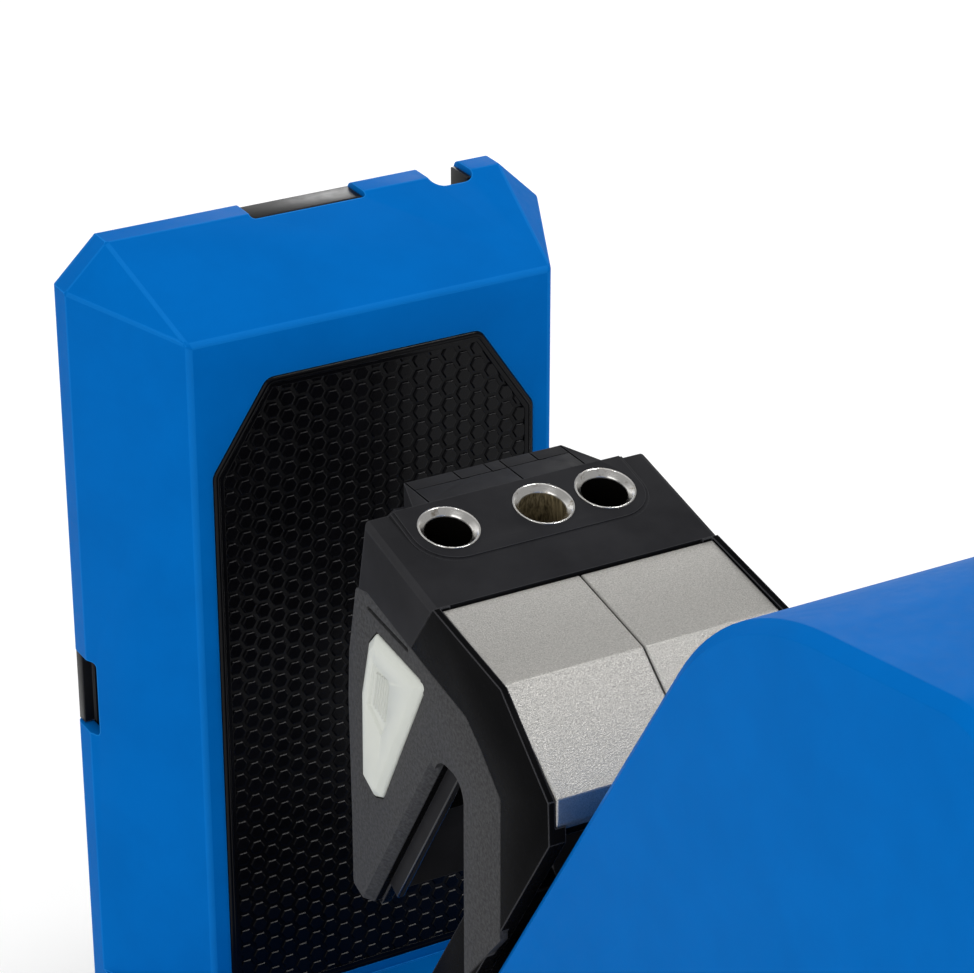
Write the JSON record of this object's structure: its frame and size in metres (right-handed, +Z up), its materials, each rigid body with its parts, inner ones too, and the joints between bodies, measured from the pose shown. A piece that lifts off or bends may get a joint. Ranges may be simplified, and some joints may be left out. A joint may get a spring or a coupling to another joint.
{
  "type": "pocket hole jig",
  "caption": "Bench jig for drilling angled pocket holes: a sloping guide block with steel drill guides on a lever-driven carriage, facing a rubber-padded back wall.",
  "frame": {"origin": "middle of the overall length and width on the bench, under the jig with the lever at rest", "axes": "+Z up from the bench, -Y towards the user and the lever, +Y towards the back wall, +X to the right as the user faces the jig"},
  "size_m": [0.1144, 0.2988, 0.2374],
  "materials": {
    "blue_plastic": "fine satin moulded surface",
    "black_plastic": "satin moulded surface",
    "grey_cover_plastic": "finely grained, matte",
    "light_plastic": "smooth satin",
    "rubber": "moulded, matte",
    "brushed_metal": "blasted and lightly polished, with fine sparkle",
    "hard_steel": "turned and polished at the mouth",
    "zinc_steel": "plain zinc",
    "dark_cast_metal": "cast, black coated"
  },
  "bodies": {
    "base": {"base_housing": "blue_plastic", "back_cover": "black_plastic", "bottom_plate": "black_plastic", "rubber_feet": "rubber", "clamp_pad": "rubber", "track_frame": "dark_cast_metal", "pivot_bolts": "zinc_steel"},
    "carriage": {"carriage_shell": "black_plastic", "side_cover_left": "grey_cover_plastic", "side_cover_right": "grey_cover_plastic", "nose_cap_left": "brushed_metal", "nose_cap_right": "brushed_metal", "guide_block": "black_plastic", "drill_guides": "hard_steel", "drive_arm": "dark_cast_metal", "guide_bar_left": "black_plastic", "guide_bar_right": "black_plastic"},
    "lever": {"handle": "blue_plastic", "handle_insert": "black_plastic", "drive_pin": "zinc_steel"},
    "button_left": {"release_button_left": "light_plastic"},
    "button_right": {"release_button_right": "light_plastic"}
  },
  "joints": [
    {"name": "handle_swing", "type": "hinge", "parent": "base", "child": "lever", "pos_m": [0, -0.00537, 0.103], "axis": [1, 0, 0], "range_deg": [0, 60]},
    {"name": "carriage_slide", "type": "slide", "parent": "base", "child": "carriage", "axis": [0, 0.5299, -0.848], "range_m": [0, 0.064]},
    {"name": "button_left_press", "type": "slide", "parent": "carriage", "child": "button_left", "axis": [1, 0, 0], "range_m": [0, 0.002], "stiffness_N_per_m": 600},
    {"name": "button_right_press", "type": "slide", "parent": "carriage", "child": "button_right", "axis": [-1, 0, 0], "range_m": [0, 0.002], "stiffness_N_per_m": 600}
  ],
  "couplings": [
    {"joint": "carriage_slide", "follows": "handle_swing", "m_per_rad": 0.061115}
  ]
}
